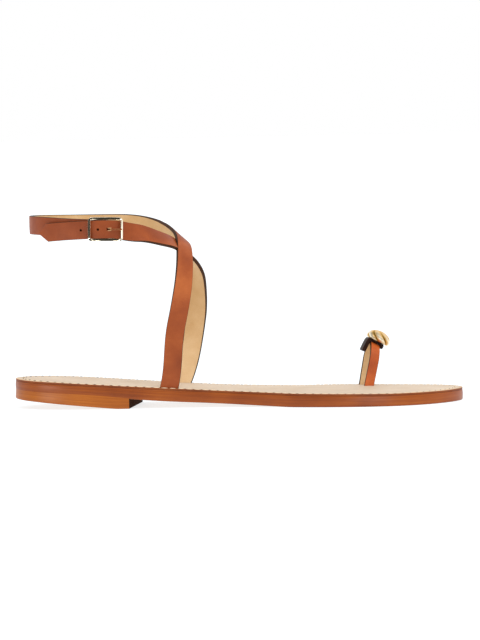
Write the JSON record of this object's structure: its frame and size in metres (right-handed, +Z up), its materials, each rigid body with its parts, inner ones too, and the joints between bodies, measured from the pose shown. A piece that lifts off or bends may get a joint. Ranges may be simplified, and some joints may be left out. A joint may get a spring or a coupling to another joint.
{
  "type": "leather sandal",
  "caption": "Flat leather sandal with a wrapped ankle strap, centre-bar buckle, toe loop with a domed metal ornament, stitched insole and low stacked heel.",
  "frame": {"origin": "middle of the sole's length and width, on the floor", "axes": "+X from heel to toe, +Y to the inner side of the foot, +Z up"},
  "size_m": [0.2463, 0.076, 0.1059],
  "materials": {
    "sole_leather": "stained brown, burnished edge",
    "heel_leather": "paler stacked leather, burnished",
    "insole_leather": "natural vegetable-tanned, matt",
    "strap_leather": "smooth cognac calf, tan lining, dark painted edge",
    "edge_leather": "dark painted edge",
    "gold_metal": "polished pale gold"
  },
  "bodies": {
    "root": {"outsole": "sole_leather", "heel": "heel_leather", "insole": "insole_leather", "upper": "strap_leather", "toe_loop": "strap_leather", "toe_keeper": "edge_leather", "toe_ornament": "gold_metal", "buckle_frame": "gold_metal", "buckle_prong": "gold_metal"}
  },
  "joints": []
}
